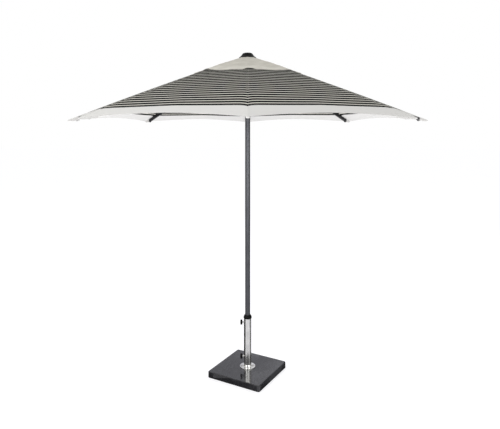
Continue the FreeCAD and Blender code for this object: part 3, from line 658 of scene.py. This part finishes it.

# %% [markdown]
# ## Stripes
#
# The stripes are in the weave, the same on both faces: a plain border, then nineteen dark stripes,
# each about three quarters of the repeat and a little more of it towards the top. They are
# straight in mid-bay and pulled outward a little at the ribs, as cloth is when a panel is cut with
# a curved side and sewn to its neighbour. Under the crown the cloth is dark: partly netting,
# partly painted shade for the mouths between the crown's hem and the main cloth. Painting a
# picture of this and wrapping it on would blur at the seams; a rule in cloth coordinates stays
# sharp at any distance.

# %% Striped cloth
BORDER = 1.164
REPEAT = 0.0404
NET_AND_SHADE_EDGE = 0.385
DARK_SHARE = 0.88
DARK_LOSS = 0.15
PULL = 0.020
PULL_FADE = -50.0
BOW = 0.022
BOW_POWER = 1.3
SWELL_RADIUS = 1.2
FRAY = 1.2 * MM
ECRU = ((0.62, 0.61, 0.55), (0.74, 0.72, 0.65))
WHITE = ((0.67, 0.665, 0.65), (0.75, 0.74, 0.715))
BLACK = ((0.006, 0.006, 0.006), (0.014, 0.014, 0.013))


def stripes(finish, radius, across, shade):
    """Main cloth: border, stripes bent by the seams, netting and painted shade under the crown."""
    swell = (radius / SWELL_RADIUS).math("POWER", 2.0)
    off_rib = (radius * across * SIDE).size()
    pull = (off_rib * PULL_FADE).math("EXPONENT") * PULL
    bow = (across * (math.pi / 2)).math("COSINE").math("POWER", BOW_POWER) * BOW
    row = radius - (bow + pull) * swell
    fray = (finish.noise(finish.object_place(), 900.0) - 0.5) * FRAY
    count = (BORDER - row + fray) / REPEAT
    dark = count.fraction().below(DARK_SHARE - radius * DARK_LOSS)
    pale = finish.tint(shade, *ECRU)
    ink = finish.tint(shade, *BLACK)
    white = finish.tint(shade, *WHITE)
    striped = finish.tint(dark, pale, ink)
    bordered = finish.tint(count.below(0.0), striped, white)
    # Inside this edge the cloth is painted dark: partly netting, partly painted shade for the
    # mouths under the crown.
    return finish.tint(radius.below(NET_AND_SHADE_EDGE), bordered, ink)


canopy_cloth = cloth_finish("canopy_cloth", stripes)
print("stripes:", int((BORDER - NET_AND_SHADE_EDGE) / REPEAT), "dark ones,", REPEAT, "m apart")

# %% [markdown]
# ## Plain cloths and thread
#
# The crown is undyed cloth, with faint painted shade of creases, and it is painted paler towards
# its hem. The pockets are cut from the same white as the border, and the thread is a moulded
# finish with a very fine grain, which is what twisted polyester looks like from a step away.

# %% Plain cloths
CROWN_TONES = ((0.52, 0.50, 0.445), (0.68, 0.66, 0.595))
THREAD_TONES = ((0.60, 0.59, 0.55), (0.74, 0.73, 0.68))
PALER_FROM = 0.33


def plain_ecru(finish, radius, across, shade):
    # Painted shade of creases comes from a soft noise, and the band towards the hem is painted
    # paler.
    painted_crease_shade = finish.noise(finish.stretch(finish.object_place(), z=2.5), 16.0)
    hem_band = ((radius - PALER_FROM) * 14.0).clamp()
    tone = (shade + (painted_crease_shade - 0.5) * 1.5 + hem_band * 0.45 - 0.20).clamp()
    return finish.tint(tone, *CROWN_TONES)


def plain_white(finish, radius, across, shade):
    return finish.tint(shade, *WHITE)


crown_cloth = cloth_finish("crown_cloth", plain_ecru)
pocket_cloth = cloth_finish("pocket_cloth", plain_white)
thread_finish = moulded("sewing_thread", *THREAD_TONES, 0.7, grain=2500.0)
print("cloth finishes ready")

# %% [markdown]
# ## Cutting and laying the gores
#
# The canopy is sewn from panels that run from rib to rib. When the parasol folds, each half of a
# panel goes with its own rib, so here the cloth is split in mid-bay and each gore belongs to one
# rib. Modelling the sheet as a grid in cloth coordinates keeps its edges exact: neighbouring gores
# meet with no gap. Columns are closer together over the rib, where the pull of the seam shows.
#
# A subdivided plane with a cloth simulation was the other choice, but a stretched canopy hardly
# sags, and a simulation would not stay inside the frame.

# %% Sheet builder
SHARP = 35
CROWDING = 1.6


def finished(name, mesh, finish):
    """An object from a mesh: faces turned outward, smooth but for its real edges."""
    shape = bmesh.new()
    shape.from_mesh(mesh)
    bmesh.ops.recalc_face_normals(shape, faces=shape.faces)
    shape.to_mesh(mesh)
    shape.free()
    mesh.polygons.foreach_set("use_smooth", [True] * len(mesh.polygons))
    mesh.set_sharp_from_angle(angle=math.radians(SHARP))
    mesh.materials.clear()
    mesh.materials.append(finish)
    item = bpy.data.objects.new(name, mesh)
    bpy.context.scene.collection.objects.link(item)
    return item


def between(name, outer, inner, chart, finish):
    """A closed solid between two grids of the same size, with the chart as its UV map."""
    rows, columns = outer.shape[:2]
    count = rows * columns
    index = np.arange(count).reshape(rows, columns)
    quads = []
    for i in range(rows - 1):
        for j in range(columns - 1):
            a, b, c, d = index[i, j], index[i + 1, j], index[i + 1, j + 1], index[i, j + 1]
            quads += [(a, b, c, d), (d + count, c + count, b + count, a + count)]
    rim = [*index[0, :], *index[1:, -1], *index[-1, -2::-1], *index[-2:0:-1, 0]]
    quads += [(b, a, a + count, b + count) for a, b in zip(rim, rim[1:] + rim[:1])]
    mesh = bpy.data.meshes.new(name)
    points = np.concatenate([outer.reshape(-1, 3), inner.reshape(-1, 3)])
    mesh.from_pydata(points.tolist(), [], [[int(i) for i in quad] for quad in quads])
    both = np.concatenate([chart.reshape(-1, 2)] * 2)
    loops = np.zeros(len(mesh.loops), np.int64)
    mesh.loops.foreach_get("vertex_index", loops)
    layer = mesh.uv_layers.new(name="cloth")
    layer.data.foreach_set("uv", both[loops].astype(np.float32).ravel())
    return finished(name, mesh, finish)


def closed_sheet(name, top, thickness, chart, finish):
    """A thin closed solid from a grid of points on its upper face."""
    return between(name, top, top - thickness[..., None] * UP, chart, finish)


def grid(rows, columns):
    """Steps along the cloth and across it; the columns crowd over the rib."""
    along = np.linspace(0, 1, rows)
    step = np.linspace(-1, 1, columns)
    across = np.sign(step) * np.abs(step) ** CROWDING
    return np.meshgrid(along, across, indexing="ij")


print("sheet builder ready")

# %% [markdown]
# ## Measuring a sheet
#
# Each sheet's size is the size it was cut to, and on a stretched cloth that is what its upper
# face measures: its widest chord, its length over the rib, and its area.

# %% Measures
def rib_length(top):
    """Length of a grid's middle column, from its first row to its last."""
    middle = top.shape[1] // 2
    return float(np.linalg.norm(top[-1, middle] - top[0, middle]))


def one_side_area(top):
    """Area of the upper face of a grid, by the two triangles of each quad."""
    a = top[1:, :-1] - top[:-1, :-1]
    b = top[:-1, 1:] - top[:-1, :-1]
    c = top[1:, 1:] - top[:-1, 1:]
    d = top[1:, 1:] - top[1:, :-1]
    first = np.linalg.norm(np.cross(a, b), axis=-1)
    second = np.linalg.norm(np.cross(c, d), axis=-1)
    return float((first.sum() + second.sum()) / 2)


print("a gore is widest at its hem:", round(2 * SIDE * TIP, 3), "m")

# %% [markdown]
# ## Main canopy
#
# The cloth lies on the ribs and is doubled at the hem. In mid-bay it hangs a few millimetres low,
# and a row of shallow puckers follows the border seam. No canopy hangs quite centred: the pattern
# lies a few millimetres further out than the frame, and a touch more so towards the back and one
# side.

# %% Main gores
VENT_INNER = 0.282
CLOTH = 0.6 * MM
HEM_DEPTH = 18 * MM
TURN_UNDER = 2 * MM
SEAT = 1.2 * MM
SAG = 3.0 * MM
PUCKER = 0.35 * MM
PUCKER_REACH = 0.02
PUCKER_WAVES = 190
LOOSE = 9.5 * MM
SKEW = (-0.008, 0.0085)
MAIN_GRID = (141, 41)


def main_height(radius, across):
    """Height of the top of the main cloth."""
    span = np.clip((radius - VENT_INNER) / (TIP - VENT_INNER), 0, 1)
    sag = SAG * bell(across) * np.sin(math.pi * span)
    near_seam = np.exp(-(((radius - BORDER) / PUCKER_REACH) ** 2))
    pucker = PUCKER * near_seam * np.sin(radius * across * PUCKER_WAVES)
    return np.polyval(main_line, radius) - SEAT - sag + pucker * np.abs(across)


def off_centre(top):
    """How much further out the pattern lies than the cloth it is on."""
    return LOOSE + SKEW[0] * top[..., 0] + SKEW[1] * top[..., 1]


gores = {}
along, across = grid(*MAIN_GRID)
edge = hem(across)
radius = VENT_INNER + (edge - VENT_INNER) * along
hem_band = np.clip((radius - edge + HEM_DEPTH) / TURN_UNDER, 0, 1)
for k in range(1, RIBS + 1):
    top = on_cloth(k, radius, across, main_height(radius, across))
    chart = np.stack([radius - off_centre(top), across], axis=-1)
    gores[k] = closed_sheet(f"main_cloth_{k}", top, CLOTH * (1 + hem_band), chart, canopy_cloth)
main_flat = (2 * SIDE * TIP, rib_length(top))
main_area = one_side_area(top)
print("main gores:", RIBS, "flat", [round(v, 3) for v in main_flat], "area", round(main_area, 4))

# %% [markdown]
# ## Crown
#
# The crown is a small canopy of its own that covers the vent. Its hem is cut a little shorter over
# most ribs and longer over the front one. Over each rib it is lifted off the main cloth by a few
# millimetres, and these small dark mouths let the wind out. Between the ribs it is slack enough to
# crease; the creases only rise, so that the crown never dips through the cloth under it.

# %% Crown gores
CROWN_INNER = 0.042
CROWN_HEM = 0.413
CROWN_DIP = 0.030
CROWN_HEM_DEPTH = 12 * MM
CROWN_CUT = {1: -0.037, 2: -0.006, 8: 0.010}
USUAL_CUT = 0.012
MOUTH = {1: 7.5 * MM, 2: 2 * MM, 8: 6.5 * MM}
USUAL_MOUTH = 5 * MM
MOUTH_HALF = 0.034
MOUTH_PLACE = {1: 0.012}
LIFT_FROM = 0.30
LIFT_REACH = 0.13
CREASED_FROM = 0.10
CREASED_REACH = 0.30
CREASES = ((46, 9, 0.0), (71, -15, 1.0))
WRINKLE = 1.2 * MM
CROWN_SEAT = 0.9 * MM
CROWN_GRID = (51, 41)


def crown_hem(across, k):
    """Radius of the crown's hem: it dips outward in mid-bay, and each rib has its own cut."""
    cut = CROWN_CUT.get(k, USUAL_CUT)
    return CROWN_HEM + CROWN_DIP * bell(across) ** 0.7 - cut * (1 - bell(across)) ** 2


def crown_height(radius, across, k):
    """Height of the top of the crown cloth: seated over the hub, lifted at its hem by the ribs."""
    reach = np.clip((radius - LIFT_FROM) / LIFT_REACH, 0, 1)
    aside = (radius * SIDE * across - MOUTH_PLACE.get(k, 0.0)) / MOUTH_HALF
    mouth = MOUTH.get(k, USUAL_MOUTH) * reach**2 * np.exp(-(aside**4))
    span = np.clip((radius - CREASED_FROM) / CREASED_REACH, 0, 1)
    crease = sum(np.sin(radius * out + across * turn + start) for out, turn, start in CREASES)
    room = np.sin(math.pi * span) ** 2 * np.abs(np.sin(math.pi * across))
    lift = mouth * (1 - np.abs(across) ** 6) + WRINKLE * (crease + 2) * room
    return np.polyval(crown_line, radius) - CROWN_SEAT + lift


crowns = {}
crown_cuts = {}
along, across = grid(*CROWN_GRID)
for k in range(1, RIBS + 1):
    edge = crown_hem(across, k)
    radius = CROWN_INNER + (edge - CROWN_INNER) * along
    top = on_cloth(k, radius, across, crown_height(radius, across, k))
    hem_band = np.clip((radius - edge + CROWN_HEM_DEPTH) / TURN_UNDER, 0, 1)
    thickness = CLOTH * (1 + 0.6 * hem_band)
    chart = np.stack([radius, across], axis=-1)
    crowns[k] = closed_sheet(f"crown_cloth_{k}", top, thickness, chart, crown_cloth)
    crown_cuts[k] = ((2 * SIDE * (CROWN_HEM + CROWN_DIP), rib_length(top)), one_side_area(top))
    print("crown gore", k, "length", round(rib_length(top), 3), "area", round(crown_cuts[k][1], 4))

# %% [markdown]
# ## A row of pieces along a line
#
# Seams are what make cloth read as cloth. A stitch is the same small rounded piece again and again
# along a line, which is what Geometry Nodes do best: the tree below lays pieces end to end along
# any line, and the weld at the foot of the tube uses it too. An array modifier on a curve would
# bend its pieces, and placing thousands of them by hand is slow to change.

# %% The tree
ROW_SOCKETS = {
    "Line": "Geometry",
    "Spacing": "Float",
    "Size": "Vector",
    "Jitter": "Float",
    "Seed": "Int",
    "Finish": "Material",
}


def row_tree():
    """Small rounded pieces along a line: their spacing, size, spread of sizes, seed and finish."""
    tree = bpy.data.node_groups.new("row_of_pieces", "GeometryNodeTree")
    for name, kind in ROW_SOCKETS.items():
        tree.interface.new_socket(name, in_out="INPUT", socket_type="NodeSocket" + kind)
    tree.interface.new_socket("Pieces", in_out="OUTPUT", socket_type="NodeSocketGeometry")

    def add(kind, settings=None, **inputs):
        node = tree.nodes.new(kind)
        for name, value in (settings or {}).items():
            setattr(node, name, value)
        for name, value in inputs.items():
            socket = next(s for s in node.inputs if s.name == name and s.enabled)
            if isinstance(value, bpy.types.NodeSocket):
                tree.links.new(value, socket)
            else:
                socket.default_value = value
        return node

    given = tree.nodes.new("NodeGroupInput").outputs
    line = add("GeometryNodeMeshToCurve", Mesh=given["Line"])
    spacing = {"Curve": line.outputs[0], "Length": given["Spacing"]}
    places = add("GeometryNodeCurveToPoints", {"mode": "LENGTH"}, **spacing)
    ball = add("GeometryNodeMeshUVSphere", Segments=6, Rings=4, Radius=0.5)
    piece = add("GeometryNodeTransform", Geometry=ball.outputs["Mesh"], Scale=given["Size"])
    least = add("ShaderNodeMath", {"operation": "SUBTRACT"}, Value=1.0)
    tree.links.new(given["Jitter"], least.inputs[1])
    sizes = {"Min": least.outputs[0], "Max": 1.0, "Seed": given["Seed"]}
    spread = add("FunctionNodeRandomValue", {"data_type": "FLOAT"}, **sizes)
    turned = {"Instance": piece.outputs[0], "Rotation": places.outputs["Rotation"]}
    laid = add("GeometryNodeInstanceOnPoints", Points=places.outputs["Points"], **turned)
    tree.links.new(next(s for s in spread.outputs if s.enabled), laid.inputs["Scale"])
    real = add("GeometryNodeRealizeInstances", Geometry=laid.outputs[0])
    painted = {"Geometry": real.outputs[0], "Material": given["Finish"]}
    result = tree.nodes.new("NodeGroupOutput")
    tree.links.new(add("GeometryNodeSetMaterial", **painted).outputs[0], result.inputs[0])
    return tree


ROW = row_tree()
ROW_INPUTS = {s.name: s.identifier for s in ROW.interface.items_tree if s.in_out == "INPUT"}
print("row tree:", len(ROW.nodes), "nodes, inputs", ", ".join(ROW_INPUTS))

# %% [markdown]
# The tree is put on a line as a modifier. Its inputs are set by their identifiers, the result is
# turned into a plain mesh at once, and the line is thrown away.

# %% Laying a row
def lay_row(name, lines, spacing, size, jitter, finish, seed, closed=False):
    """A plain mesh object: pieces of this size laid along the lines, each a list of points."""
    points, edges = [], []
    for line in lines:
        first = len(points)
        points += [tuple(point) for point in line]
        edges += [(i, i + 1) for i in range(first, len(points) - 1)]
        if closed:
            edges.append((len(points) - 1, first))
    mesh = bpy.data.meshes.new(name + "_line")
    mesh.from_pydata(points, edges, [])
    guide = bpy.data.objects.new(name + "_line", mesh)
    bpy.context.scene.collection.objects.link(guide)
    modifier = guide.modifiers.new("row", "NODES")
    modifier.node_group = ROW
    values = {"Spacing": spacing, "Size": size, "Jitter": jitter, "Seed": seed, "Finish": finish}
    for key, value in values.items():
        modifier[ROW_INPUTS[key]] = value
    evaluated = guide.evaluated_get(bpy.context.evaluated_depsgraph_get())
    solid = bpy.data.meshes.new_from_object(evaluated)
    bpy.data.objects.remove(guide)
    return finished(name, solid, finish)


print("rows can be laid")

# %% [markdown]
# ## Stitches
#
# Each gore gets two rows beside the rib seam, one at the border seam and one at the hem; the crown
# has rows of its own. The thread sits in the cloth, half sunk.

# %% Seam lines
STITCH = (0.55 * MM, 0.9 * MM, 2.6 * MM)
STITCH_STEP = 4.2 * MM
STITCH_JITTER = 0.15
STITCHING = (STITCH_STEP, STITCH, STITCH_JITTER, thread_finish)
SEAM_OFF = 5 * MM
SEAM_POINTS = 90
SEAM_REACH = 0.998
BORDER_SEAM = BORDER + 0.012
MAIN_SEAM = (VENT_INNER + 0.12, TIP - 0.03)
CROWN_SEAM = (0.07, CROWN_HEM - 0.054)


def rib_rows(k, start, end, height):
    """A line on each side of rib k, a seam's width apart."""
    radius = np.linspace(start, end, SEAM_POINTS)
    rows = [off / (radius * SIDE) for off in (-SEAM_OFF, SEAM_OFF)]
    return [on_cloth(k, radius, across, height(radius, across)) for across in rows]


def cross_row(k, where, height):
    """A line across the gore at the radius that where gives for each place across."""
    across = np.linspace(-SEAM_REACH, SEAM_REACH, SEAM_POINTS)
    radius = where(across)
    return on_cloth(k, radius, across, height(radius, across))


def hem_row(across):
    return hem(across) - HEM_DEPTH


def border_row(across):
    return np.full_like(across, BORDER_SEAM)


def crown_row(across, k):
    return crown_hem(across, k) - CROWN_HEM_DEPTH


print("a stitch every", round(STITCH_STEP / MM, 1), "mm")

# %% Stitches
main_sewing, crown_sewing = {}, {}
for k in range(1, RIBS + 1):
    seams = rib_rows(k, *MAIN_SEAM, main_height)
    seams += [cross_row(k, hem_row, main_height), cross_row(k, border_row, main_height)]
    main_sewing[k] = lay_row(f"main_stitches_{k}", seams, *STITCHING, seed=k)
    height = partial(crown_height, k=k)
    seams = rib_rows(k, *CROWN_SEAM, height)
    seams.append(cross_row(k, partial(crown_row, k=k), height))
    crown_sewing[k] = lay_row(f"crown_stitches_{k}", seams, *STITCHING, seed=20 + k)
faces = [len(sewn.data.polygons) for sewn in (main_sewing[1], crown_sewing[1])]
print("stitches on", RIBS, "gores,", faces[0], "faces on the first and", faces[1], "on its crown")

# %% [markdown]
# ## Corner pockets
#
# At each tip a small pocket is sewn under the cloth. The rib's end and its hook sit in it, and
# that pulls the canopy tight. A pocket is a sock: one grid of points goes round under the rib from
# side to side and closes in a rounded nose at the tip, and a second grid a cloth's thickness
# inside it makes it solid. A few pockets reach further in along the rib than the others.

# %% Pockets
POCKET_START = 1.288
LONG_POCKETS = {2: 1.228, 7: 1.264, 8: 1.228}
POCKET_HALF = 10.6 * MM
POCKET_WALL = 0.9 * MM
POCKET_ROOM = 2.0 * MM
POCKET_WRINKLE = 0.35 * MM
NOSE = 16 * MM
NOSE_TIP = 0.04
POCKET_GRID = (34, 29)
fitting_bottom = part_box("rib_fittings_1")[0].z


def pocket_skin(k, inset):
    """A grid over the pocket: along the rib, and round under it from one side to the other."""
    out, side = frame_of(k)
    rows, columns = POCKET_GRID
    along, turn = np.meshgrid(np.linspace(0, 1, rows), np.linspace(-1, 1, columns), indexing="ij")
    start = LONG_POCKETS.get(k, POCKET_START)
    radius = start + (TIP - inset - start) * along
    rounding = np.clip((radius - TIP + inset) / NOSE + 1, 0, 1)
    nose = np.sqrt(np.clip(1 - rounding**2, 0, 1)) * (1 - NOSE_TIP) + NOSE_TIP
    ceiling = main_height(radius, 0 * radius) - 2 * CLOTH - 0.1 * MM
    floor_height = fitting_bottom - POCKET_ROOM + inset
    depth = (ceiling - floor_height) * (0.86 + 0.14 * bell(along)) * nose
    swing = turn * math.pi / 2
    half = (POCKET_HALF - inset) * nose * np.abs(np.sin(swing)) ** 0.35
    drop = depth * np.abs(np.cos(swing)) ** 0.5
    wrinkle = POCKET_WRINKLE * np.sin(along * 34 + turn * 2) * np.cos(swing)
    aside = (half + wrinkle) * np.sign(turn)
    place = radius[..., None] * out + aside[..., None] * side + (ceiling - drop)[..., None] * UP
    return place, np.stack([radius, turn * 0.05], axis=-1)


pockets = {}
for k in range(1, RIBS + 1):
    outer, chart = pocket_skin(k, 0)
    inner, _ = pocket_skin(k, POCKET_WALL)
    pockets[k] = between(f"corner_pocket_{k}", outer, inner, chart, pocket_cloth)
print("pockets:", len(pockets), "over fittings that hang to", round(fitting_bottom, 4))

# %% [markdown]
# ## Hanging the cloth on the ribs
#
# All of a rib's cloth, and everything sewn on it, hangs from that rib's body, so it turns with
# that rib. The CAD fabric that it stands in for is hidden.

for k in range(1, RIBS + 1):
    out, side = frame_of(k)
    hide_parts(f"canopy_gore_{k}")
    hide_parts(f"canopy_gore_{k}")
    for piece in (gores[k], main_sewing[k], crowns[k], crown_sewing[k], pockets[k]):
        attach(piece, f"rib_arm_{k}")
        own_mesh(piece)
print("cloth declared:", 2 * RIBS, "sheets")

# %% [markdown]
# ## Weld at the foot of the tube
#
# The tube is welded to the flange all round. A weld is a chain of overlapping drops, so it is laid
# with the same tree as the stitches.

# %% Weld bead
TUBE_RADIUS = 28.5 * MM
DROP = (3.6 * MM, 3.6 * MM, 2.6 * MM)
DROP_STEP = 1.5 * MM

flange_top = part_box("base_flange")[1].z
ring = [
    (TUBE_RADIUS * math.cos(a), TUBE_RADIUS * math.sin(a), flange_top)
    for a in np.linspace(0, 2 * math.pi, 97)[:-1]
]
weld_finish = brushed("weld_steel", (0.40, 0.39, 0.37), (0.62, 0.60, 0.57), 0.38, "Z")
weld = lay_row("foot_weld", [ring], DROP_STEP, DROP, 0.1, weld_finish, seed=3, closed=True)
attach(weld, "base")
print("weld:", len(weld.data.polygons), "faces at", round(flange_top, 4), "m")
